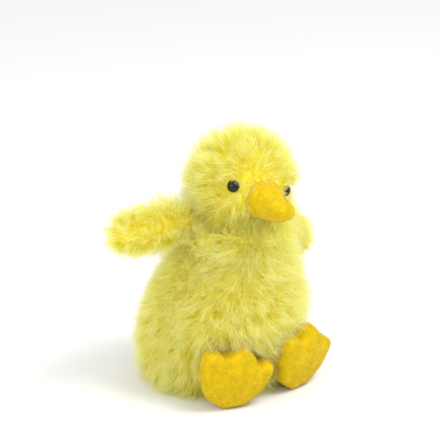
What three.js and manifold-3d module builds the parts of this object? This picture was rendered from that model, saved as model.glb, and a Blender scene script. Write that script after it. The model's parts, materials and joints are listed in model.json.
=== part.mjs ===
// A sewn and stuffed duckling toy, sitting upright: long-pile fur cloth over fibre filling, with a
// felt beak, two bead eyes, two wings and two felt feet. Millimetres, +Z up, the toy faces -Y and
// its own right side is -X. The origin is the centre of the flat panel that it sits on.
import * as THREE from 'three';
import { mergeVertices } from 'three/addons/utils/BufferGeometryUtils.js';
import Module from 'manifold-3d';

const wasm = await Module();
wasm.setup();

// ---------------------------------------------------------------------------- driving dimensions
const GAP = 0.3;              // clearance between neighbouring pieces
const FUR = 7;                // fur cloth: backing plus the dense part of its pile
const FELT = 1.3;             // felt sheet
const THREAD = 0.4;           // radius of the sewing thread
const SEAM_PLAY = 0.7;        // play between two pieces that are sewn together but still flex

// Body stations from the floor up: [height, half width, half depth, shift towards the back].
const BODY = [
  [0, 34, 31, 5], [6, 38.5, 36, 6], [16, 40.5, 39.5, 6], [28, 41.5, 41.5, 3.5], [42, 41, 42.5, -2],
  [56, 38, 39, -6.5], [70, 33, 33.5, -9], [82, 28.5, 29, -10.5], [92, 26, 26.5, -11.5],
  [98, 25, 25.5, -12],
];
const CAVITY_TOP = 84;        // where the body filling ends under the neck
const BASE = { halfWidth: 29, halfDepth: 27, back: 4, thick: 1.5 };
// The closing seam up the back: its heights, the spare room at each end, and how deep a stitch lies.
const BACK_SEAM = { from: 27, to: 67, room: 3, stitches: 14, sunk: 1.5 };

const NECK = new THREE.Vector3(0, -11, 101);   // the point that the head turns and nods about
const NECK_BALL = 19;                          // radius of the rounded neck under the head
const HEAD_SWEEP = 31.6;                       // room that the nodding head needs in the shoulders
const HEAD = { halfWidth: 26.5, halfDepth: 27, halfHeight: 26.5, forward: 1.5, above: 16.2 };
// The head leans towards the toy's left and turns a little towards its right.
const HEAD_LEAN = 14;
const HEAD_TURN = -4;
const GUSSET = { halfWidth: 7, bottom: -8 };
const NECK_OPEN = 0.7;        // the neck is open below this share of its radius
const NECK_SEAM = 0.6;        // share of the neck's radius where it is sewn to the body

const EYE = { side: 16.5, forward: 17, above: 1.5, radius: 3.4, seat: 22.4, shank: 1, length: 7 };
const WASHER = { radius: 4, thick: 1, depth: 17.9 };

// Beak stations from its base forwards: [distance, half width, half height, height of the middle].
const BEAK = [
  [22, 10.8, 11, -2.6], [27, 9.8, 9.4, -3.2], [32.5, 8.6, 7.4, -4.1], [38, 7.8, 6.3, -4.1],
  [43, 6.7, 5.2, -3.7], [46, 4.6, 3.5, -3.3],
];
const BEAK_TIP = 47.5;

// Wing stations from the shoulder outwards: [distance, half width, half thickness, shift].
const WING = [
  [2, 6.6, 6.6, 0], [11, 9.6, 9.6, 0], [22, 10.8, 10.2, 0], [33, 9.6, 8.6, 0], [39.5, 6, 5.4, 0],
];
const WING_TIP = 42;
const SHOULDER_BALL = 8;      // rounded root of a wing
const WING_LINING = 3;        // fur cloth of a wing
const WING_REST = {
  right: { side: 26.5, back: -4, height: 98.5, sweep: 13, droop: 6 },
  left: { side: 30, back: -3, height: 88, sweep: 22, droop: 38 },
};

// A foot: its outline, the height of its outer toes, and the rounding of its toes and edges.
const FOOT = { width: 40, height: 38.5, thick: 11, sideToe: 31, toe: 3.9, round: 3, ankle: 6 };
const ANKLE = { height: 13, back: 8, lift: 1.5 };
const FOOT_REST = {
  right: { side: 18, forward: 36, splay: 17, lean: 17, pitch: 11 },
  left: { side: 22.5, forward: 35.5, splay: 11, lean: 18, pitch: 11 },
};

// -------------------------------------------------------------------------------------- materials
const fur = new THREE.Color(0xe6dd6e);
const felt = new THREE.Color(0xebc41c);
const COLOURS = {
  fur: { color: fur, roughness: 0.95 },
  felt: { color: felt, roughness: 0.9 },
  filling: { color: 0xf4f2ea, roughness: 1 },
  panel: { color: 0xe0d47a, roughness: 0.9 },
  thread: { color: 0xd8cc50, roughness: 0.8 },
  eye: { color: 0x0b0a08, roughness: 0.08 },
  washer: { color: 0xe8e6e0, roughness: 0.4 },
};

// ---------------------------------------------------------------------------------- solid helpers
const FAR = 200;   // half size of a cutting block
const radians = THREE.MathUtils.degToRad;
const headRest = new THREE.Euler(0, radians(HEAD_LEAN), radians(HEAD_TURN), 'ZYX');

/** A three.js geometry as a solid that can be joined and cut. */
function solid(geometry) {
  const bare = geometry.clone();
  bare.deleteAttribute('normal');
  bare.deleteAttribute('uv');
  const merged = mergeVertices(bare, 1e-4);
  return new wasm.Manifold(new wasm.Mesh({
    numProp: 3,
    vertProperties: new Float32Array(merged.attributes.position.array),
    triVerts: new Uint32Array(merged.index.array),
  }));
}

/** A named mesh made from a solid. */
function piece(name, body, colours) {
  const cut = body.getMesh();
  const geometry = new THREE.BufferGeometry();
  geometry.setAttribute('position', new THREE.BufferAttribute(cut.vertProperties, 3));
  geometry.setIndex(new THREE.BufferAttribute(cut.triVerts, 1));
  geometry.computeVertexNormals();
  const mesh = new THREE.Mesh(geometry, new THREE.MeshStandardMaterial(colours));
  mesh.name = name;
  return mesh;
}

function ball(radius, x = 0, y = 0, z = 0, segments = 16) {
  const geometry = new THREE.SphereGeometry(radius, segments, segments / 2);
  return solid(geometry.translate(x, y, z));
}

/** A box between two corners. */
function block(x0, x1, y0, y1, z0, z1) {
  const geometry = new THREE.BoxGeometry(x1 - x0, y1 - y0, z1 - z0);
  return solid(geometry.translate((x0 + x1) / 2, (y0 + y1) / 2, (z0 + z1) / 2));
}

/** A round bar along +Z from z0 to z1. */
function bar(radius, z0, z1, segments = 20) {
  const geometry = new THREE.CylinderGeometry(radius, radius, z1 - z0, segments);
  return solid(geometry.rotateX(Math.PI / 2).translate(0, 0, (z0 + z1) / 2));
}

/** A ring of thread round +Z that lies on a ball of the given radius, at a height on that ball. */
function threadRing(ballRadius, height) {
  const ring = Math.sqrt(ballRadius ** 2 - height ** 2);
  return solid(new THREE.TorusGeometry(ring, THREAD, 5, 20).translate(0, 0, height));
}

/** Smooth curves through stations of [place, half width, half depth, shift], inset all round. */
function stationCurves(stations, inset = 0, stretch = 1) {
  const sizes = stations.map(([place, width, depth]) => (
    new THREE.Vector3(place * stretch, width - inset, depth - inset)));
  const shifts = stations.map(([, , , shift]) => new THREE.Vector3(shift, 0, 0));
  return [new THREE.CatmullRomCurve3(sizes), new THREE.CatmullRomCurve3(shifts)];
}

/** A soft form along +Z through elliptical stations; a tip closes it roundly, else it ends flat. */
function softForm(stations, { inset = 0, segments = 22, rows = 11, tip = null } = {}) {
  const stretch = tip === null ? 1 : (tip - inset) / tip;
  const [sizes, shifts] = stationCurves(stations, inset, stretch);
  const profile = [new THREE.Vector2(0, 0)];
  for (let row = 0; row <= rows; row += 1) profile.push(new THREE.Vector2(1, row / rows));
  profile.push(new THREE.Vector2(0, 1));
  const geometry = new THREE.LatheGeometry(profile, segments);
  const spots = geometry.attributes.position;
  for (let i = 0; i < spots.count; i += 1) {
    const [across, along, deep] = [spots.getX(i), spots.getY(i), spots.getZ(i)];
    const size = sizes.getPoint(along);
    const isTip = tip !== null && along === 1 && Math.hypot(across, deep) < 0.5;
    const height = isTip ? tip - inset : size.x;
    spots.setXYZ(i, across * size.y, shifts.getPoint(along).x - deep * size.z, height);
  }
  return solid(geometry);
}

/** Adds each mesh to a group at a place, turned by the given angles. */
function assemble(meshes, position = new THREE.Vector3(), rotation = new THREE.Euler()) {
  const group = new THREE.Group();
  group.add(...meshes);
  group.position.copy(position);
  group.rotation.copy(rotation);
  return group;
}

// ------------------------------------------------------------------------------------------- body
/** The half of a solid on one side of the middle plane: side is -1 for the right, 1 for the left. */
function halfOf(whole, side) {
  const inner = side * GAP / 2;
  const outer = side * FAR;
  const keep = block(Math.min(inner, outer), Math.max(inner, outer), -FAR, FAR, -FAR, FAR);
  return whole.intersect(keep);
}

function shoulderPoint(name, side) {
  const { side: out, back, height } = WING_REST[name];
  return new THREE.Vector3(side * out, back, height);
}

function anklePoint(name, side) {
  const { side: out, forward } = FOOT_REST[name];
  return new THREE.Vector3(side * out, ANKLE.back - forward, ANKLE.height + ANKLE.lift);
}

/** Turns a foot by its rest angles about its ankle, and moves the ankle to its place. */
function footPlace(name, side) {
  const { splay, lean, pitch } = FOOT_REST[name];
  const turn = new THREE.Euler(radians(pitch), radians(lean), radians(side * splay), 'ZXY');
  const toAnkle = new THREE.Matrix4().makeTranslation(0, -ANKLE.back, -ANKLE.height);
  const place = new THREE.Matrix4().makeRotationFromEuler(turn).multiply(toAnkle);
  return place.premultiply(new THREE.Matrix4().setPosition(anklePoint(name, side)));
}

/** Where the limbs meet the body: each limb's ball with play, and the dent that a foot presses. */
function limbSockets() {
  const sockets = [];
  for (const [name, side] of [['right', -1], ['left', 1]]) {
    sockets.push(ball(SHOULDER_BALL + 2 * SEAM_PLAY, ...shoulderPoint(name, side).toArray()));
    sockets.push(ball(FOOT.ankle + 2 * SEAM_PLAY, ...anklePoint(name, side).toArray()));
    sockets.push(footForm(-SEAM_PLAY).transform(footPlace(name, side).elements));
  }
  return sockets;
}

/** Room for the neck ball and for the head as it nods over the shoulders. */
function neckRoom() {
  const middle = new THREE.Vector3(0, -HEAD.forward, HEAD.above).applyEuler(headRest).add(NECK);
  const room = ball(NECK_BALL + 2 * SEAM_PLAY, ...NECK.toArray(), 28);
  return room.add(ball(HEAD_SWEEP, ...middle.toArray(), 20));
}

/** One thread that goes in and out through the back of the cover, in the middle plane. */
function closingStitch() {
  const { from, to, stitches, sunk } = BACK_SEAM;
  const [sizes, shifts] = stationCurves(BODY);
  const fine = 400;
  const samples = Array.from({ length: fine }, (_, i) => i / fine);
  const points = [];
  for (let i = 0; i <= stitches; i += 1) {
    const height = from + (to - from) * i / stitches;
    const along = samples.find((place) => sizes.getPoint(place).x >= height);
    const depth = i % 2 === 0 ? sunk : FUR - sunk;
    const back = shifts.getPoint(along).x + sizes.getPoint(along).z;
    points.push(new THREE.Vector3(0, back - depth, height));
  }
  const section = new THREE.Shape().absarc(0, 0, THREAD, 0, 2 * Math.PI);
  const path = new THREE.CatmullRomCurve3(points);
  return solid(new THREE.ExtrudeGeometry(section, {
    steps: stitches * 2, curveSegments: 3, bevelEnabled: false, extrudePath: path,
  }));
}

function buildBody() {
  const sockets = limbSockets();
  const outer = sockets.reduce((rest, socket) => rest.subtract(socket), softForm(BODY));
  const baseHole = bar(1, -1, BASE.thick + GAP, 32)
    .scale([BASE.halfWidth + GAP, BASE.halfDepth + GAP, 1]).translate([0, BASE.back, 0]);
  const inside = softForm(BODY, { inset: FUR }).intersect(block(-FAR, FAR, -FAR, FAR, -1, CAVITY_TOP));
  const { from, to, room } = BACK_SEAM;
  const channel = block(-THREAD - GAP, THREAD + GAP, 0, FAR, from - room, to + room);
  const cover = outer.subtract(neckRoom()).subtract(inside).subtract(baseHole).subtract(channel);

  const fillingForm = softForm(BODY, { inset: FUR + GAP });
  const fillingSpan = block(-FAR, FAR, -FAR, FAR, BASE.thick + GAP, CAVITY_TOP - GAP);
  const deepSockets = sockets.reduce((rest, socket) => rest.subtract(socket), fillingForm);
  const filling = deepSockets.intersect(fillingSpan).subtract(neckRoom());
  const panel = bar(1, 0, BASE.thick, 32).scale([BASE.halfWidth, BASE.halfDepth, 1])
    .translate([0, BASE.back, 0]);

  return assemble([
    piece('body_fur_right', halfOf(cover, -1), COLOURS.fur),
    piece('body_fur_left', halfOf(cover, 1), COLOURS.fur),
    piece('body_base_panel', panel, COLOURS.panel),
    piece('body_stuffing', filling, COLOURS.filling),
    piece('closing_seam_thread', closingStitch(), COLOURS.thread),
  ]);
}

// ------------------------------------------------------------------------------------------- head
/** The head and its rounded neck, inset all round, in the head's own axes about the neck point. */
function headForm(inset) {
  const skull = ball(1, 0, 0, 0, 20).scale([
    HEAD.halfWidth - inset, HEAD.halfDepth - inset, HEAD.halfHeight - inset,
  ]);
  return skull.translate([0, -HEAD.forward, HEAD.above]).add(ball(NECK_BALL - inset));
}

/** Turns something built along +Z so that it points out of the head where an eye sits. */
function atEye(body, side) {
  const out = new THREE.Vector3(side * EYE.side, -EYE.forward, EYE.above).normalize();
  const turn = new THREE.Quaternion().setFromUnitVectors(new THREE.Vector3(0, 0, 1), out);
  const place = new THREE.Matrix4().makeRotationFromQuaternion(turn);
  place.setPosition(0, -HEAD.forward, HEAD.above);
  return body.transform(place.elements);
}

function buildEyes() {
  const meshes = [];
  for (const [name, side] of [['right', -1], ['left', 1]]) {
    const dome = ball(EYE.radius, 0, 0, EYE.seat + 1).intersect(block(-9, 9, -9, 9, EYE.seat, 99));
    const shank = bar(EYE.shank, EYE.seat - EYE.length, EYE.seat + 1, 12);
    const hole = bar(EYE.shank + GAP / 2, 0, 99, 12);
    const washer = bar(WASHER.radius, WASHER.depth, WASHER.depth + WASHER.thick).subtract(hole);
    meshes.push(piece(`eye_${name}`, atEye(dome.add(shank), side), COLOURS.eye));
    meshes.push(piece(`eye_washer_${name}`, atEye(washer, side), COLOURS.washer));
  }
  return meshes;
}

/** Room that one eye needs: its seat in the fur, its shank and its washer in the filling. */
function eyeRoom(side) {
  const seat = bar(EYE.radius + GAP, EYE.seat - GAP, 60);
  const shank = bar(EYE.shank + GAP, EYE.seat - EYE.length - GAP, 60, 12);
  const washer = bar(WASHER.radius + GAP, WASHER.depth - GAP, HEAD.halfWidth - FUR, 20);
  return { cover: atEye(seat.add(shank), side), filling: atEye(shank.add(washer), side) };
}

/** The beak as a solid about the neck point, inset all round, and started early by a lead. */
function beakForm(inset, lead = 0) {
  const [first, ...others] = BEAK;
  const stations = [[first[0] - lead, ...first.slice(1)], ...others];
  const form = softForm(stations, { inset, segments: 16, rows: 8, tip: BEAK_TIP });
  return form.rotate([90, 0, 0]).translate([0, -HEAD.forward, HEAD.above]);
}

function buildBeak() {
  const shell = beakForm(0).subtract(beakForm(FELT, 2));
  const behindBase = block(-FAR, FAR, -BEAK[0][0] - HEAD.forward, FAR, -FAR, FAR);
  const filling = beakForm(FELT + GAP, 2).subtract(behindBase);
  return [
    piece('beak_felt_right', halfOf(shell, -1), COLOURS.felt),
    piece('beak_felt_left', halfOf(shell, 1), COLOURS.felt),
    piece('beak_stuffing', filling, COLOURS.filling),
  ];
}

/** Splits the head cover into two sides and the gusset that runs over the crown. */
function headPanels(cover) {
  const { halfWidth, bottom } = GUSSET;
  const floor = HEAD.above + bottom;
  const strip = block(-halfWidth, halfWidth, -FAR, FAR, floor, FAR);
  const room = block(-halfWidth - GAP, halfWidth + GAP, -FAR, FAR, floor - GAP, FAR);
  return [
    piece('head_fur_gusset', cover.intersect(strip), COLOURS.fur),
    piece('head_fur_right', halfOf(cover.subtract(room), -1), COLOURS.fur),
    piece('head_fur_left', halfOf(cover.subtract(room), 1), COLOURS.fur),
  ];
}

function buildHead() {
  const neckOpening = block(-FAR, FAR, -FAR, FAR, -FAR, -NECK_BALL * NECK_OPEN);
  const eyes = [eyeRoom(-1), eyeRoom(1)];
  const whole = headForm(0).subtract(headForm(FUR)).subtract(beakForm(-GAP, 1)).subtract(neckOpening);
  const cover = eyes.reduce((rest, eye) => rest.subtract(eye.cover), whole);
  const plain = headForm(FUR + GAP).subtract(neckOpening);
  const filling = eyes.reduce((rest, eye) => rest.subtract(eye.filling), plain);
  const meshes = [
    ...headPanels(cover),
    piece('head_stuffing', filling, COLOURS.filling),
    ...buildEyes(),
    ...buildBeak(),
  ];
  return assemble(meshes, NECK, headRest);
}

function buildNeckSeam() {
  const ring = threadRing(NECK_BALL + SEAM_PLAY, -NECK_BALL * NECK_SEAM);
  return assemble([piece('neck_seam_thread', ring, COLOURS.thread)], NECK);
}

// ------------------------------------------------------------------------------------------ wings
/** One wing along +Z about its shoulder point, inset all round. */
function wingForm(inset) {
  const blade = softForm(WING, { inset, segments: 12, rows: 7, tip: WING_TIP });
  return blade.add(ball(SHOULDER_BALL - inset, 0, 0, 0, 12));
}

function buildWing(name, side) {
  const shell = wingForm(0).subtract(wingForm(WING_LINING));
  const upper = block(-FAR, FAR, GAP / 2, FAR, -FAR, FAR);
  const under = block(-FAR, FAR, -FAR, -GAP / 2, -FAR, FAR);
  const rest = WING_REST[name];
  const meshes = [
    piece(`wing_${name}_fur_top`, shell.intersect(upper), COLOURS.fur),
    piece(`wing_${name}_fur_under`, shell.intersect(under), COLOURS.fur),
    piece(`wing_${name}_stuffing`, wingForm(WING_LINING + GAP), COLOURS.filling),
    piece(`wing_${name}_seam_thread`, threadRing(SHOULDER_BALL + SEAM_PLAY, 2), COLOURS.thread),
  ];
  const outwards = assemble(meshes, new THREE.Vector3(), new THREE.Euler(
    Math.PI / 2, 0, side * Math.PI / 2, 'ZYX',
  ));
  const turn = new THREE.Euler(0, side * radians(rest.droop), side * radians(rest.sweep), 'ZYX');
  return assemble([outwards], shoulderPoint(name, side), turn);
}

// ------------------------------------------------------------------------------------------- feet
/** Outline of a foot: a rounded heel that widens to three blunt toes, inset all round. */
function footOutline(inset) {
  const half = FOOT.width / 2 - inset;
  const top = FOOT.height - inset;
  const toe = FOOT.toe - inset * 0.6;
  const corner = FOOT.sideToe - inset;
  const waist = FOOT.height * 0.4;
  const shape = new THREE.Shape();
  shape.moveTo(0, inset);
  shape.bezierCurveTo(half * 0.5, inset, half * 0.78, waist * 0.5 + inset, half * 0.9, waist);
  shape.quadraticCurveTo(half, corner - 2 * toe, half, corner - toe);
  shape.quadraticCurveTo(half, corner, half - toe, corner);
  shape.quadraticCurveTo(half * 0.45, corner, toe * 1.4, top - toe);
  shape.quadraticCurveTo(0, top + toe * 0.8, -toe * 1.4, top - toe);
  shape.quadraticCurveTo(-half * 0.45, corner, toe - half, corner);
  shape.quadraticCurveTo(-half, corner, -half, corner - toe);
  shape.quadraticCurveTo(-half, corner - 2 * toe, -half * 0.9, waist);
  shape.bezierCurveTo(-half * 0.78, waist * 0.5 + inset, -half * 0.5, inset, 0, inset);
  return shape;
}

/** A padded foot with its outline in X and Z, its sole towards -Y, and its heel at z = 0. */
function footForm(inset) {
  const { round } = FOOT;
  const thick = FOOT.thick - 2 * inset;
  const geometry = new THREE.ExtrudeGeometry(footOutline(inset), {
    depth: thick - 2 * round, curveSegments: 2, bevelSegments: 2,
    bevelThickness: round, bevelSize: round * 0.8, bevelOffset: -round * 0.8,
  });
  geometry.translate(0, 0, -thick / 2 + round);
  return solid(geometry.rotateX(Math.PI / 2));
}

function buildFoot(name, side) {
  const ankle = ball(FOOT.ankle, 0, ANKLE.back, ANKLE.height, 12);
  const shell = footForm(0).add(ankle).subtract(footForm(FELT));
  const back = block(-FAR, FAR, GAP / 2, FAR, -FAR, FAR);
  const front = block(-FAR, FAR, -FAR, -GAP / 2, -FAR, FAR);
  const seam = threadRing(FOOT.ankle + SEAM_PLAY, 1).rotate([-90, 0, 0]);
  const foot = assemble([
    piece(`foot_${name}_felt_front`, shell.intersect(front), COLOURS.felt),
    piece(`foot_${name}_felt_back`, shell.intersect(back), COLOURS.felt),
    piece(`foot_${name}_stuffing`, footForm(FELT + GAP), COLOURS.filling),
    piece(`foot_${name}_seam_thread`, seam.translate([0, ANKLE.back, ANKLE.height]), COLOURS.thread),
  ]);
  foot.applyMatrix4(footPlace(name, side));
  return foot;
}

// ---------------------------------------------------------------------------------------- the toy
export default assemble([
  buildBody(),
  buildNeckSeam(),
  buildHead(),
  buildWing('right', -1),
  buildWing('left', 1),
  buildFoot('right', -1),
  buildFoot('left', 1),
]);
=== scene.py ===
"""A sitting fluffy duckling toy: long pale-yellow pile on sewn pelts, felt beak and feet, bead eyes.

Everything is in metres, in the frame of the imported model: +Z up, the toy faces -Y. The pile is real
geometry: tapered strands that grow from a smooth pelt, a little under the surface of the CAD fur.
"""

import json
import math
from collections import namedtuple

import bpy
import numpy as np
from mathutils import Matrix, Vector, kdtree


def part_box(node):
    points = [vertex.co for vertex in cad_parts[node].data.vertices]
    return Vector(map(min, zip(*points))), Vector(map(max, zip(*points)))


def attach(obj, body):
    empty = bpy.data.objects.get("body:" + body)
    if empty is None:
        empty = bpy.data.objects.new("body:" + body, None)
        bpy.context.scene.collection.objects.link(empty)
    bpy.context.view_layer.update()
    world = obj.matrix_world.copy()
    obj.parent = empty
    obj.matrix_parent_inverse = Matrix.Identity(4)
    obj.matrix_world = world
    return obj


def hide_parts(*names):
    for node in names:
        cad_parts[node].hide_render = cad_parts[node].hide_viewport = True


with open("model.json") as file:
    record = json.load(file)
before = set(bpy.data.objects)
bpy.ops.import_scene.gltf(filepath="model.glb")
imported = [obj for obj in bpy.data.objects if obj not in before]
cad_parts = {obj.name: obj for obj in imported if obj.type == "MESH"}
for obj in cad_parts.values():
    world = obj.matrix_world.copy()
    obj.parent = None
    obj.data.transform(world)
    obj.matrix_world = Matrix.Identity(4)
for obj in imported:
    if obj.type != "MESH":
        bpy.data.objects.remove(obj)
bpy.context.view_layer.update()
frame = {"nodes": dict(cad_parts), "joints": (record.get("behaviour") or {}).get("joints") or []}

MM = 0.001
rng = np.random.default_rng(11)

# How a pelt's pile grows: functions of its roots (and normals, for comb) that give the direction it
# is combed in, its length, and how far it stands up, from 0, lying, to 1, upright.
Coat = namedtuple("Coat", "comb length lift")

# ------------------------------------------------------------------------------ places in the toy
JOINT_AT = {joint["name"]: np.array(joint["pos_m"]) for joint in frame["joints"]}
NECK = JOINT_AT["head_nod"]
SHOULDER = {side: JOINT_AT[f"wing_{side}_flap"] for side in ("right", "left")}
DOWN = np.array([0.0, 0.0, -1.0])

PILE_ROOT = 3.2 * MM       # the pelt that holds the pile lies this deep under the CAD surface
WING_ROOT = 1.5 * MM       # the same on a wing
PILE_LENGTH = 13.8 * MM
PILE_WIDTH = (0.12 * MM, 0.19 * MM)
BODY_DENSITY = 3.2         # strands in a square millimetre
LIMB_DENSITY = 3.6         # the same on the head and wings
# A wing's pile: its share of the full length, how much it hangs, and how far it stands up.
WING_PILE = {
    "right": {"share": 0.8, "hang": 0.2, "lift": 0.75},
    "left": {"share": 0.75, "hang": 1.6, "lift": 0.5},
}
GUARD_SHARE = 0.1          # share of the strands that are guard hairs: longer, thicker and paler
GUARD_LENGTH = 1.12
GUARD_WIDTH = 1.5
PER_TUFT = 16              # strands that lean together
RUFFLE = 0.24              # how far a tuft strays from the combed direction
STRAY = 0.22               # how far a single strand strays
CURL = 0.22                # how far a strand winds as it grows
GATHER = 0.25              # how far the tips of a tuft draw together

FELT_FUZZ = 1.2 * MM
FUZZ_WIDTH = (0.06 * MM, 0.12 * MM)
FUZZ_DENSITY = 2.5
FOOT_PUFF = 2.2 * MM       # how far the padding domes a foot's faces
FOOT_FULL = 0.4 * MM       # how far it fills out the outline
FOOT_HALF = 5.2 * MM       # from the middle of a foot to the pile that it presses flat
FOOT_REACH = 17 * MM       # how far from its middle a foot presses the pile
TOE_GAP = 9.5 * MM         # from the middle of a foot to the dips beside its middle toe
TOE_DIP = 2.6 * MM
FLOOR_ROOM = 0.3 * MM      # pile and fuzz stay this far above the floor
PELT_BASE = 1.8 * MM       # height of the body's pelt over the flat panel
NECK_HOLLOW = 24 * MM      # the cover is bare this near to the neck, where the head is sewn in


def node_points(*names):
    """The vertices of CAD nodes in the row frame."""
    parts = []
    for name in names:
        data = frame["nodes"][name].data
        flat = np.empty(len(data.vertices) * 3)
        data.vertices.foreach_get("co", flat)
        parts.append(flat.reshape(-1, 3))
    return np.concatenate(parts)


def box_of(*names):
    """Lowest and highest corners of some nodes."""
    points = node_points(*names)
    return points.min(0), points.max(0)


def flat_axes(name):
    """Centre of a node and its long, middle and short directions."""
    points = node_points(name)
    centre = (points.min(0) + points.max(0)) / 2
    _, _, axes = np.linalg.svd(points - points.mean(0), full_matrices=False)
    return centre, axes


HEAD_COVER = ("head_fur_left", "head_fur_right", "head_fur_gusset")
BEAK_PARTS = ("beak_felt_left", "beak_felt_right", "beak_stuffing")
head_low, head_high = box_of(*HEAD_COVER)
HEAD_RADIUS = (head_high[0] - head_low[0]) / 2
HEAD = np.array([*(head_low + head_high)[:2] / 2, head_high[2] - HEAD_RADIUS])
beak_points = node_points("beak_stuffing")
BEAK_TIP = beak_points[np.argmax(np.linalg.norm(beak_points - HEAD, axis=1))]
FACE = (BEAK_TIP - HEAD) / np.linalg.norm(BEAK_TIP - HEAD)


def eye_place(side):
    """Centre of an eye's front face and the way it looks out of the head."""
    points = node_points(f"eye_{side}")
    reach = np.linalg.norm(points - HEAD, axis=1)
    far = points[reach > reach.max() - 1.2 * MM].mean(0)
    out = (far - HEAD) / np.linalg.norm(far - HEAD)
    return HEAD + out * reach.max(), out


BIB_WAY = np.array([0.05, -1.0, 0.0])     # where the chin's pile hangs longest
EYES = {side: eye_place(side) for side in ("right", "left")}


# ---------------------------------------------------------------------------------- small helpers
def unit(vectors):
    length = np.linalg.norm(vectors, axis=-1, keepdims=True)
    return vectors / np.maximum(length, 1e-12)


def along_skin(vectors, normals):
    """The part of each vector that lies in the surface, as a unit vector."""
    flat = vectors - normals * np.sum(vectors * normals, axis=-1, keepdims=True)
    return unit(flat)


def ramp(values, low, high):
    """Smooth step from 0 at low to 1 at high."""
    t = np.clip((values - low) / (high - low), 0, 1)
    return t * t * (3 - 2 * t)


def ripple(points, size, seed, waves=6):
    """Smooth noise from about -1 to 1 whose features are about as large as size."""
    source = np.random.default_rng(seed)
    total = np.zeros(len(points))
    for _ in range(waves):
        direction = unit(source.normal(size=3)) * 2 * math.pi / size * source.uniform(0.6, 1.5)
        total += np.sin(points @ direction + source.uniform(0, 2 * math.pi))
    return total / math.sqrt(waves / 2) * 0.7


def new_object(name, vertices, faces):
    data = bpy.data.meshes.new(name)
    data.from_pydata([tuple(v) for v in vertices], [], [tuple(f) for f in faces])
    data.update()
    made = bpy.data.objects.new(name, data)
    bpy.context.collection.objects.link(made)
    return made


def baked_copy(made):
    """Applies an object's modifiers to its mesh."""
    graph = bpy.context.evaluated_depsgraph_get()
    data = bpy.data.meshes.new_from_object(made.evaluated_get(graph))
    made.modifiers.clear()
    made.data = data
    return made


def dress(piece, material, body):
    """Material, slot and body of a finished piece."""
    piece.data.materials.clear()
    piece.data.materials.append(material)
    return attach(piece, body)


# ------------------------------------------------------------------------------------------ skins
def skin(name, nodes, voxel, relax, inset=0.0, divide=0):
    """One closed surface round some CAD nodes, remeshed, smoothed relax times and drawn in."""
    vertices, faces, start = [], [], 0
    for node in nodes:
        data = frame["nodes"][node].data
        vertices.extend(v.co[:] for v in data.vertices)
        faces.extend([start + i for i in p.vertices] for p in data.polygons)
        start += len(data.vertices)
    made = new_object(name, vertices, faces)
    remesh = made.modifiers.new("remesh", "REMESH")
    remesh.mode, remesh.voxel_size, remesh.adaptivity = "VOXEL", voxel, 0.0
    soften = made.modifiers.new("soften", "SMOOTH")
    soften.factor, soften.iterations = 0.5, relax
    if divide:
        finer = made.modifiers.new("finer", "SUBSURF")
        finer.levels = finer.render_levels = divide
    baked_copy(made)
    if inset:
        data = made.data
        spots, normals = mesh_arrays(data)
        data.vertices.foreach_set("co", (spots - normals * inset).ravel())
    made.data.polygons.foreach_set("use_smooth", [True] * len(made.data.polygons))
    made.data.update()
    return made


def mesh_arrays(data):
    """A mesh's vertex positions and normals."""
    spots, normals = np.empty(len(data.vertices) * 3), np.empty(len(data.vertices) * 3)
    data.vertices.foreach_get("co", spots)
    data.vertex_normals.foreach_get("vector", normals)
    return spots.reshape(-1, 3), normals.reshape(-1, 3)


def scatter(made, per_mm2):
    """Even random points on an object's surface, with smooth normals there."""
    data = made.data
    data.calc_loop_triangles()
    spots, normals = mesh_arrays(data)
    corners = np.empty(len(data.loop_triangles) * 3, dtype=np.int64)
    data.loop_triangles.foreach_get("vertices", corners)
    corners = corners.reshape(-1, 3)
    a, b, c = (spots[corners[:, i]] for i in range(3))
    area = np.linalg.norm(np.cross(b - a, c - a), axis=1) / 2
    share = 1.0
    count = int(area.sum() / MM ** 2 * per_mm2 * share)
    chosen = rng.choice(len(area), count, p=area / area.sum())
    u, v = rng.random(count), rng.random(count)
    over = u + v > 1
    u[over], v[over] = 1 - u[over], 1 - v[over]
    weights = np.stack([1 - u - v, u, v], axis=1)[:, :, None]
    triangles = corners[chosen]
    points = (spots[triangles] * weights).sum(1)
    return points, unit((normals[triangles] * weights).sum(1))


# ------------------------------------------------------------------------------------------- pile
def tufts(roots, per_tuft):
    """For each strand, the index of the tuft's leading strand, which is the nearest leader."""
    count = len(roots)
    leaders = rng.choice(count, max(count // per_tuft, 1), replace=False)
    tree = kdtree.KDTree(len(leaders))
    for index, leader in enumerate(leaders):
        tree.insert(Vector(roots[leader]), index)
    tree.balance()
    return leaders[[tree.find(Vector(root))[1] for root in roots]]


def grow(roots, normals, comb, length, lift, leader=None, steps=4):
    """Paths of strands that stand up from the skin and bend over along their combed direction.

    The strands of a tuft share a ruffled direction, and draw together a little at their tips.
    """
    count = len(roots)
    own = rng.normal(size=(count, 3))
    stray = own * STRAY
    if leader is not None:
        stray = stray + own[leader] * RUFFLE
    across = np.cross(normals, comb)
    start = rng.uniform(0, 2 * math.pi, count)
    twist = rng.uniform(1.2, 2.6, count) * rng.choice([-1, 1], count)
    paths = np.empty((count, steps + 1, 3))
    paths[:, 0] = roots
    for step in range(steps):
        t = (step + 0.5) / steps
        angle = (start + twist * step)[:, None]
        waver = (across * np.cos(angle) + comb * np.sin(angle)) * CURL
        upright = lift[:, None] * (1 - 0.35 * t)
        heading = normals * upright + comb * (1 - upright) * (0.5 + t) + stray * (0.5 + t) + waver
        paths[:, step + 1] = paths[:, step] + unit(heading) * (length / steps)[:, None]
    if leader is None:
        return paths
    pull = GATHER * (np.linspace(0, 1, steps + 1) ** 1.5)[None, :, None]
    return paths + (paths[leader] - paths) * pull


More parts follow.
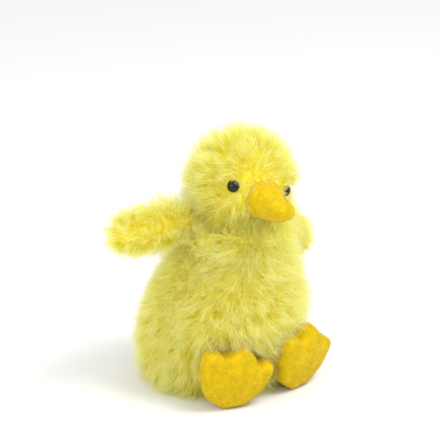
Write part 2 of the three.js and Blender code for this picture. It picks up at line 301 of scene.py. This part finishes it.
def ribbon_spots(paths, normals, width):
    """Vertices of a tapered ribbon along each path: pairs from the root up, and one at the tip."""
    count, points = paths.shape[:2]
    tangent = unit(np.gradient(paths, axis=1))
    facing = unit(normals[:, None] + 0.55 * rng.normal(size=(count, 1, 3)))
    side = unit(np.cross(tangent, facing))
    taper = (1 - np.linspace(0, 1, points)) ** 0.6
    half = side * (width[:, None] * taper / 2)[:, :, None]
    spots = np.empty((count, 2 * points - 1, 3))
    spots[:, 0:-1:2] = (paths - half)[:, :-1]
    spots[:, 1:-1:2] = (paths + half)[:, :-1]
    spots[:, -1] = paths[:, -1]
    return spots


def ribbon_faces(count, points):
    """For count ribbons, the vertex of each face corner and the first corner of each face."""
    per = 2 * points - 1
    quads = [2 * k + corner for k in range(points - 2) for corner in (0, 1, 3, 2)]
    pattern = np.array([*quads, per - 3, per - 2, per - 1])
    loops = (np.arange(count)[:, None] * per + pattern).ravel()
    sizes = np.tile([4] * (points - 2) + [3], count)
    return loops, np.concatenate([[0], np.cumsum(sizes)[:-1]])


def strands(name, paths, normals, width, tone):
    """A mesh of one tapered ribbon for each path, facing roughly out of the skin.

    The UV layer holds each strand's tone across and the way from root to tip upwards.
    """
    count, points = paths.shape[:2]
    spots = ribbon_spots(paths, normals, width)
    loops, starts = ribbon_faces(count, points)
    per = spots.shape[1]
    data = bpy.data.meshes.new(name)
    data.vertices.add(count * per)
    data.vertices.foreach_set("co", spots.ravel())
    data.loops.add(len(loops))
    data.loops.foreach_set("vertex_index", loops.astype(np.int32))
    data.polygons.add(len(starts))
    data.polygons.foreach_set("loop_start", starts.astype(np.int32))
    data.polygons.foreach_set("use_smooth", np.ones(len(starts), dtype=bool))
    data.update(calc_edges=True)

    height = np.append(np.repeat(np.linspace(0, 1, points)[:-1], 2), 1.0)
    place = np.stack([np.repeat(tone, per), np.tile(height, count)], axis=1)
    layer = data.uv_layers.new(name="OFBake")
    layer.data.foreach_set("uv", place[loops].astype(np.float32).ravel())

    made = bpy.data.objects.new(name, data)
    bpy.context.collection.objects.link(made)
    return made


def tones(roots, seed):
    """A tone from 0 to 1 for each strand: patches a lock or two wide, and each strand's own."""
    patchy = 0.5 + 0.22 * ripple(roots, 16 * MM, seed) + rng.normal(0, 0.24, len(roots))
    return np.clip(patchy, 0.01, 0.99)


def stay_above_floor(paths):
    paths[:, :, 2] = np.maximum(paths[:, :, 2], FLOOR_ROOM)
    return paths


def stay_behind(paths, centre, out, reach):
    """Keeps strands behind a plane through centre, where they are within reach of it."""
    offset = paths - centre
    ahead = offset @ out
    sideways = np.linalg.norm(offset - ahead[..., None] * out, axis=-1)
    push = np.where((ahead > 0) & (sideways < reach), ahead, 0.0)
    return paths - push[..., None] * out


# -------------------------------------------------------------------------------------- materials
def material(name, roughness, sheen=0.0):
    """A new material with its nodes, its links and its shader."""
    made = bpy.data.materials.new(name)
    made.use_nodes = True
    shader = made.node_tree.nodes["Principled BSDF"]
    shader.inputs["Roughness"].default_value = roughness
    shader.inputs["Sheen Weight"].default_value = sheen
    shader.inputs["Sheen Roughness"].default_value = 0.5
    shader.inputs["Specular IOR Level"].default_value = 0.08
    return made, made.node_tree.nodes, made.node_tree.links, shader


def colour_ramp(nodes, stops):
    """A ramp through stops of [position, colour]."""
    made = nodes.new("ShaderNodeValToRGB")
    elements = made.color_ramp.elements
    elements[0].position, elements[1].position = stops[0][0], stops[-1][0]
    elements[0].color, elements[1].color = (*stops[0][1], 1), (*stops[-1][1], 1)
    for position, colour in stops[1:-1]:
        elements.new(position).color = (*colour, 1)
    return made


def noise(nodes, links, scale, detail=3.0, distortion=0.0):
    """Noise with scale features in a metre, fixed to the piece."""
    made = nodes.new("ShaderNodeTexNoise")
    place = nodes.new("ShaderNodeTexCoord")
    links.new(place.outputs["Object"], made.inputs["Vector"])
    made.inputs["Scale"].default_value = scale
    made.inputs["Detail"].default_value = detail
    made.inputs["Distortion"].default_value = distortion
    return made


def mixed(nodes, links, first, second, blend="MIX"):
    """A node that mixes two colour outputs, and its result."""
    made = nodes.new("ShaderNodeMix")
    made.data_type, made.blend_type = "RGBA", blend
    made.inputs["Factor"].default_value = 1.0
    links.new(first, made.inputs["A"])
    links.new(second, made.inputs["B"])
    return made, made.outputs["Result"]


def add_bump(nodes, links, shader, height, strength, distance):
    """Raises a shader's surface by a height output."""
    bump = nodes.new("ShaderNodeBump")
    bump.inputs["Strength"].default_value = strength
    bump.inputs["Distance"].default_value = distance
    links.new(height, bump.inputs["Height"])
    links.new(bump.outputs["Normal"], shader.inputs["Normal"])


def pile_material():
    """Fine fibre: darker, deeper yellow towards the root as painted shade down in the pile, pale at
    the tip, some strands paler than others.
    """
    made, nodes, links, shader = material("pile_fibre", 0.8)
    place = nodes.new("ShaderNodeUVMap")
    place.uv_map = "OFBake"
    split = nodes.new("ShaderNodeSeparateXYZ")
    links.new(place.outputs["UV"], split.inputs["Vector"])
    # Both ramps darken from tip to root as painted shade down in the pile; the mix between them is
    # each strand's own tone.
    warm = colour_ramp(nodes, [
        (0.0, (0.76, 0.65, 0.004)), (0.5, (0.85, 0.81, 0.05)), (1.0, (0.92, 0.92, 0.50)),
    ])
    pale = colour_ramp(nodes, [
        (0.0, (0.84, 0.75, 0.01)), (0.5, (0.93, 0.92, 0.22)), (1.0, (0.98, 0.99, 0.88)),
    ])
    links.new(split.outputs["Y"], warm.inputs["Fac"])
    links.new(split.outputs["Y"], pale.inputs["Fac"])
    mix, colour = mixed(nodes, links, warm.outputs["Color"], pale.outputs["Color"])
    links.new(split.outputs["X"], mix.inputs["Factor"])
    links.new(colour, shader.inputs["Base Color"])
    through = nodes.new("ShaderNodeBsdfTranslucent")
    links.new(colour, through.inputs["Color"])
    blend = nodes.new("ShaderNodeMixShader")
    blend.inputs["Fac"].default_value = 0.5
    links.new(shader.outputs["BSDF"], blend.inputs[1])
    links.new(through.outputs["BSDF"], blend.inputs[2])
    links.new(blend.outputs["Shader"], nodes["Material Output"].inputs["Surface"])
    return made


def cloth_material(name, dark, light, grain):
    """Matte cloth with fine irregular threads."""
    made, nodes, links, shader = material(name, 0.9, sheen=0.2)
    texture = noise(nodes, links, grain, 4.0)
    colours = colour_ramp(nodes, [(0.3, dark), (0.7, light)])
    links.new(texture.outputs["Fac"], colours.inputs["Fac"])
    links.new(colours.outputs["Color"], shader.inputs["Base Color"])
    add_bump(nodes, links, shader, texture.outputs["Fac"], 0.4, 0.2 * MM)
    return made


def felt_material():
    """Golden wool felt: matted fibres, slightly lighter and darker patches."""
    made, nodes, links, shader = material("wool_felt", 0.92, sheen=0.08)
    fibres = noise(nodes, links, 1300.0, 4.0, 1.2)
    patches = noise(nodes, links, 260.0, 3.0)
    fine = colour_ramp(nodes, [(0.30, (0.55, 0.36, 0.002)), (0.70, (0.76, 0.55, 0.008))])
    broad = colour_ramp(nodes, [(0.35, (0.84, 0.84, 0.84)), (0.65, (1.0, 1.0, 1.0))])
    links.new(fibres.outputs["Fac"], fine.inputs["Fac"])
    links.new(patches.outputs["Fac"], broad.inputs["Fac"])
    _, colour = mixed(nodes, links, fine.outputs["Color"], broad.outputs["Color"], "MULTIPLY")
    links.new(colour, shader.inputs["Base Color"])
    add_bump(nodes, links, shader, fibres.outputs["Fac"], 0.6, 0.4 * MM)
    return made


def bead_material():
    """Glossy black bead with a faint brown depth."""
    made, nodes, links, shader = material("eye_bead", 0.06)
    texture = noise(nodes, links, 400.0, 2.0)
    colours = colour_ramp(nodes, [(0.3, (0.002, 0.002, 0.001)), (0.8, (0.008, 0.006, 0.003))])
    links.new(texture.outputs["Fac"], colours.inputs["Fac"])
    links.new(colours.outputs["Color"], shader.inputs["Base Color"])
    shader.inputs["Specular IOR Level"].default_value = 0.35
    return made


PILE = pile_material()
FELT = felt_material()
BEAD = bead_material()
BACKING = cloth_material("pelt_backing", (0.80, 0.66, 0.04), (0.92, 0.80, 0.10), 500.0)
PANEL = cloth_material("woven_panel", (0.60, 0.52, 0.12), (0.76, 0.70, 0.24), 1400.0)
THREAD = cloth_material("sewing_thread", (0.58, 0.50, 0.06), (0.78, 0.72, 0.20), 2500.0)
WASHER = cloth_material("washer_plastic", (0.74, 0.73, 0.68), (0.80, 0.79, 0.75), 300.0)


# ------------------------------------------------------------------------------------- fur pieces
def off_the_hollows(roots, normals):
    """Which roots are on the body's cover itself, not where the neck is sewn in or underneath."""
    inward = np.sum(normals * unit(NECK - roots), axis=1) > 0.8
    near = np.linalg.norm(roots - NECK, axis=1) < NECK_HOLLOW
    under = (roots[:, 2] < PELT_BASE + 0.4 * MM) & (normals[:, 2] < -0.6)
    return ~(inward & near) & ~under


def add_pile(prefix, pelt, body, zones, density, coat, seed):
    """Grows the pile of one pelt and splits it into one piece for each zone of its roots."""
    roots, normals = scatter(pelt, density)
    keep = coat.length(roots) > 1.0 * MM
    if body == "body":
        keep &= off_the_hollows(roots, normals)
    roots, normals = roots[keep], normals[keep]
    comb = coat.comb(roots, normals)
    guard = rng.random(len(roots)) < GUARD_SHARE
    uneven = rng.uniform(0.75, 1.08, len(roots)) * np.where(guard, GUARD_LENGTH, 1.0)
    length = coat.length(roots) * uneven
    paths = grow(roots, normals, comb, length, coat.lift(roots), tufts(roots, PER_TUFT))
    if body == "body":
        for side in ("right", "left"):
            paths = stay_behind(paths, *foot_back(side), FOOT_REACH)
    paths = stay_above_floor(paths)
    tone = np.where(guard, 0.99, tones(roots, seed))
    width = rng.uniform(*PILE_WIDTH, len(roots)) * np.where(guard, GUARD_WIDTH, 1.0)
    for zone, inside in zones.items():
        chosen = inside(roots)
        piece = strands(f"{prefix}_pile_{zone}", paths[chosen], normals[chosen],
                        width[chosen], tone[chosen])
        dress(piece, PILE, body)


def foot_back(side):
    """A point on the back face of a foot and the way that the foot lies from the body."""
    centre, axes = flat_axes(f"foot_{side}_stuffing")
    out = axes[2] * (-1 if axes[2][1] > 0 else 1)
    return centre - out * FOOT_HALF, out


def body_coat(middle):
    """The body's pile hangs in swirls, spreads at the base and stands up round the neck."""
    def comb(roots, normals):
        swirl = ripple(roots, 34 * MM, 3)[:, None] * np.cross(normals, DOWN) * 1.1
        outward = along_skin(roots - middle, normals)
        rising = 1.6 * ramp(roots[:, 2], 80 * MM, 96 * MM)[:, None]
        spread = 1.5 * (1 - ramp(roots[:, 2], 4 * MM, 20 * MM))[:, None]
        return along_skin(DOWN * (1 - rising - spread) + swirl + 0.3 * outward, normals)

    def collar(roots):
        return ramp(roots[:, 2], 84 * MM, 96 * MM)

    def length(roots):
        low = ramp(roots[:, 2], 2 * MM, 14 * MM)
        return PILE_LENGTH * (1.2 - 0.2 * low + 0.5 * collar(roots))

    def lift(roots):
        return 0.78 + 0.1 * ripple(roots, 25 * MM, 8) + 0.2 * collar(roots)

    return Coat(comb, length, lift)


def build_body():
    nodes = ("body_fur_left", "body_fur_right", "body_stuffing")
    filled = (*nodes, "body_base_panel")
    pelt = skin("body_pelt", filled, voxel=1.6 * MM, relax=12, inset=PILE_ROOT)
    spots, _ = mesh_arrays(pelt.data)
    spots[:, 2] = np.maximum(spots[:, 2], PELT_BASE)
    pelt.data.vertices.foreach_set("co", spots.ravel())
    pelt.data.update()
    middle = np.mean([tuple(corner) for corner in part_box("body_stuffing")], axis=0)
    zones = {
        "right_front": lambda p: (p[:, 0] < 0) & (p[:, 1] < middle[1]),
        "right_back": lambda p: (p[:, 0] < 0) & (p[:, 1] >= middle[1]),
        "left_front": lambda p: (p[:, 0] >= 0) & (p[:, 1] < middle[1]),
        "left_back": lambda p: (p[:, 0] >= 0) & (p[:, 1] >= middle[1]),
    }
    add_pile("body", pelt, "body", zones, BODY_DENSITY, body_coat(middle), seed=21)
    dress(pelt, BACKING, "body")
    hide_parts(*nodes)


def from_face(roots):
    """Distance from the middle of the beak's base, and from the nearer eye's axis."""
    base = HEAD + FACE * HEAD_RADIUS * 0.9
    ahead = (roots - base) @ FACE
    beak = np.linalg.norm(roots - base, axis=1)
    beak = np.where(ahead > 2.5 * MM, 0.0, beak)
    eyes = [np.linalg.norm(np.cross(roots - HEAD, out), axis=1)
            + np.where((roots - HEAD) @ out < 0, 1.0, 0.0) for _, out in EYES.values()]
    return beak, np.minimum(*eyes)


def chin(roots):
    """How low each root is on the head, how much it is under the beak, and its way out."""
    below = ramp(HEAD[2] - roots[:, 2], 6 * MM, 18 * MM)
    level = unit((roots - HEAD) * (1, 1, 0))
    return below, below * ramp(level @ BIB_WAY, 0.5, 0.95), level


def head_coat():
    """The head's pile runs back from the face, is short round beak and eyes, and hangs below."""
    def comb(roots, normals):
        away = along_skin(roots - (HEAD + FACE * HEAD_RADIUS), normals)
        swirl = ripple(roots, 26 * MM, 5)[:, None] * np.cross(normals, away) * 0.6
        low = ramp(HEAD[2] - roots[:, 2], 0.0, 18 * MM)[:, None]
        _, bib, level = chin(roots)
        hang = (0.25 + low) * DOWN + 1.3 * bib[:, None] * level
        clear = ramp(from_face(roots)[0], 9 * MM, 17 * MM)[:, None]
        return along_skin(away * clear * (1 - 0.6 * low) + swirl + hang, normals)

    def length(roots):
        beak, eye = from_face(roots)
        below, bib, _ = chin(roots)
        short = np.maximum(ramp(beak, 8 * MM, 22 * MM), below)
        near_eye = 0.4 + 0.6 * ramp(eye, 3.0 * MM, 10 * MM)
        grown = PILE_LENGTH * (0.45 + 0.55 * short) * near_eye * (1 + 0.8 * below + 0.7 * bib)
        return np.where((beak < 8 * MM) | (eye < 2.0 * MM), 0.0, grown)

    def lift(roots):
        beak, _ = from_face(roots)
        below, bib, _ = chin(roots)
        return 0.5 + 0.3 * ramp(beak, 12 * MM, 30 * MM) - 0.2 * below + 0.35 * bib

    return Coat(comb, length, lift)


def build_head():
    nodes = (*HEAD_COVER, "head_stuffing")
    filled = (*nodes, *BEAK_PARTS, "eye_right", "eye_left")
    pelt = skin("head_pelt", filled, voxel=1.3 * MM, relax=10, inset=PILE_ROOT)
    zones = {
        "right": lambda p: p[:, 0] < HEAD[0],
        "left": lambda p: p[:, 0] >= HEAD[0],
    }
    add_pile("head", pelt, "head", zones, LIMB_DENSITY, head_coat(), seed=33)
    dress(pelt, BACKING, "head")
    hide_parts(*nodes)


def wing_coat(side, outward):
    """A wing's pile runs out to its tip, and is longest above the shoulder."""
    upward = along_skin(-DOWN, outward)
    pile = WING_PILE[side]

    def comb(roots, normals):
        swirl = ripple(roots, 24 * MM, 9)[:, None] * np.cross(normals, outward) * 0.5
        return along_skin(outward + swirl + pile["hang"] * DOWN, normals)

    def length(roots):
        offset = roots - SHOULDER[side]
        shoulder = 1 - ramp(np.linalg.norm(offset, axis=1), 8 * MM, 26 * MM)
        above = ramp(offset @ upward, -4 * MM, 6 * MM)
        return PILE_LENGTH * pile["share"] * (0.85 + 0.15 * above + 0.5 * shoulder * above)

    def lift(roots):
        return np.full(len(roots), pile["lift"])

    return Coat(comb, length, lift)


def build_wing(side):
    parts = ("fur_top", "fur_under", "stuffing", "seam_thread")
    nodes = tuple(f"wing_{side}_{part}" for part in parts)
    pelt = skin(f"wing_{side}_pelt", nodes[:3], voxel=1.1 * MM, relax=8, inset=WING_ROOT)
    low, high = box_of(f"wing_{side}_stuffing")
    coat = wing_coat(side, unit((low + high) / 2 - SHOULDER[side]))
    zones = {"all": lambda p: np.ones(len(p), dtype=bool)}
    add_pile(f"wing_{side}", pelt, f"wing_{side}", zones, LIMB_DENSITY, coat, seed=47)
    dress(pelt, BACKING, f"wing_{side}")
    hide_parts(*nodes)


# ------------------------------------------------------------------------------------ felt pieces
def add_fuzz(prefix, felt, body):
    """Short fibres that stand off the surface of the felt."""
    roots, normals = scatter(felt, FUZZ_DENSITY)
    tangent = along_skin(rng.normal(size=roots.shape), normals)
    length = FELT_FUZZ * rng.uniform(0.5, 1.3, len(roots))
    lift = rng.uniform(0.15, 0.7, len(roots))
    paths = stay_above_floor(grow(roots, normals, tangent, length, lift, steps=2))
    width = rng.uniform(*FUZZ_WIDTH, len(roots))
    tone = np.clip(rng.normal(0.5, 0.2, len(roots)), 0.01, 0.99)
    dress(strands(f"{prefix}_fuzz", paths, normals, width, tone), FELT, body)


def crease(made, point, normal, depth, width):
    """Draws a form in along the plane of a seam."""
    spots, normals = mesh_arrays(made.data)
    away = (spots - point) @ normal
    sunk = depth * np.exp(-(away / width) ** 2)
    made.data.vertices.foreach_set("co", (spots - normals * sunk[:, None]).ravel())
    made.data.update()


def puff(made, ankle, centre, out):
    """Fills out a flat foot, most in the middle of its faces, and dips it between the toes."""
    spots, normals = mesh_arrays(made.data)
    up = unit(along_skin((spots.mean(0) - ankle)[None], out[None])[0])
    wide = np.cross(up, out)
    offset = spots - centre
    across, height = offset @ wide, offset @ up
    facing = normals @ out
    dome = FOOT_PUFF * (1 - ramp(np.hypot(across, height), 2 * MM, 19 * MM))
    dome = dome * ramp(np.abs(facing), 0.2, 0.9) * np.sign(facing)
    between = np.exp(-((np.abs(across) - TOE_GAP) / (3 * MM)) ** 2)
    dip = TOE_DIP * between * ramp(height, height.max() - 15 * MM, height.max() - 7 * MM)
    full = spots + dome[:, None] * out + normals * FOOT_FULL - dip[:, None] * up
    full[:, 2] = np.maximum(full[:, 2], 0.2 * MM)
    made.data.vertices.foreach_set("co", full.ravel())
    made.data.update()


def build_foot(side):
    nodes = tuple(f"foot_{side}_{part}" for part in ("felt_front", "felt_back", "stuffing"))
    felt = skin(f"foot_{side}_felt", nodes, voxel=0.9 * MM, relax=7, divide=1)
    centre, axes = flat_axes(nodes[-1])
    puff(felt, JOINT_AT[f"foot_{side}_flop"], centre, axes[2])
    crease(felt, centre, axes[2], depth=0.35 * MM, width=0.5 * MM)
    add_fuzz(f"foot_{side}", felt, f"foot_{side}")
    dress(felt, FELT, f"foot_{side}")
    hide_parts(*nodes)


def build_beak():
    felt = skin("beak_felt", BEAK_PARTS, voxel=0.8 * MM, relax=5, divide=1)
    left, right = (node_points(name).mean(0) for name in BEAK_PARTS[:2])
    middle = (left + right) / 2
    crease(felt, middle, unit(left - right), depth=0.45 * MM, width=0.55 * MM)
    add_fuzz("beak", felt, "head")
    dress(felt, FELT, "head")
    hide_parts(*BEAK_PARTS)


def build_eye(side):
    """A domed bead on a shank, turned from its profile: [radius, height along the way out]."""
    face, out = EYES[side]
    profile = [
        (0.0, -11.4), (1.0, -11.4), (1.0, -4.6), (2.6, -4.4), (3.2, -4.1), (3.4, -3.4),
        (3.25, -2.5), (2.9, -1.6), (2.3, -0.8), (1.4, -0.25), (0.6, -0.03), (0.0, 0.0),
    ]
    spin, count = 32, len(profile)
    turn = Vector(out).to_track_quat("Z", "Y").to_matrix()
    vertices = []
    for radius, height in profile:
        for step in range(spin):
            angle = 2 * math.pi * step / spin
            local = Vector((radius * math.cos(angle), radius * math.sin(angle), height)) * MM
            vertices.append(Vector(face) + turn @ local)
    faces = [
        (row * spin + i, row * spin + (i + 1) % spin,
         (row + 1) * spin + (i + 1) % spin, (row + 1) * spin + i)
        for row in range(count - 1) for i in range(spin)
    ]
    bead = new_object(f"eye_{side}_bead", vertices, faces)
    weld = bead.modifiers.new("weld", "WELD")
    weld.merge_threshold = 0.01 * MM
    finer = bead.modifiers.new("finer", "SUBSURF")
    finer.levels = finer.render_levels = 1
    baked_copy(bead)
    bead.data.polygons.foreach_set("use_smooth", [True] * len(bead.data.polygons))
    dress(bead, BEAD, "head")
    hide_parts(f"eye_{side}")


def paint_nodes():
    """Materials of the CAD nodes that stay."""
    for name, node in frame["nodes"].items():
        if node.hide_render:
            continue
        finish = PANEL if "panel" in name else WASHER if "washer" in name else THREAD
        node.data.materials.clear()
        node.data.materials.append(finish)


# ----------------------------------------------------------------------------------- studio scene
def add_camera():
    """A long lens that looks down a little at the toy's right front side."""
    azimuth, elevation, distance = math.radians(-35), math.radians(20), 1.0
    to_camera = Vector((
        math.sin(azimuth) * math.cos(elevation),
        -math.cos(azimuth) * math.cos(elevation),
        math.sin(elevation),
    ))
    target = Vector((2.6, 5.7, 90.3)) * MM
    data = bpy.data.cameras.new("camera")
    data.lens, data.sensor_width = 150.0, 36.0
    camera = bpy.data.objects.new("camera", data)
    camera.location = target + to_camera * distance
    camera.rotation_mode = "QUATERNION"
    camera.rotation_quaternion = (-to_camera).to_track_quat("-Z", "Y")
    bpy.context.collection.objects.link(camera)
    bpy.context.scene.camera = camera


def add_light(name, place, size, watts):
    data = bpy.data.lights.new(name, "AREA")
    data.size, data.energy = size, watts
    lamp = bpy.data.objects.new(name, data)
    lamp.location = place
    lamp.rotation_euler = (Vector((0, 0, 0.07)) - Vector(place)).to_track_quat("-Z", "Y").to_euler()
    bpy.context.collection.objects.link(lamp)


def add_studio():
    """A white floor, a bright even room and one soft key from the front right."""
    floor = new_object("floor", [(-4, -4, 0), (4, -4, 0), (4, 4, 0), (-4, 4, 0)], [(0, 1, 2, 3)])
    made, _, _, shader = material("floor_paper", 0.9)
    shader.inputs["Base Color"].default_value = (0.8, 0.8, 0.8, 1)
    floor.data.materials.append(made)
    world = bpy.data.worlds.new("studio")
    world.use_nodes = True
    world.node_tree.nodes["Background"].inputs["Color"].default_value = (1, 1, 1, 1)
    world.node_tree.nodes["Background"].inputs["Strength"].default_value = 1.0
    bpy.context.scene.world = world
    add_light("key", (0.3, -0.5, 0.92), 0.45, 7.0)
    add_light("fill", (-0.8, -0.3, 0.5), 0.6, 3.0)
    bpy.context.scene.view_settings.view_transform = "Standard"


add_camera()
add_studio()
build_body()
build_head()
build_beak()
for side_name in ("right", "left"):
    build_wing(side_name)
    build_foot(side_name)
    build_eye(side_name)
paint_nodes()
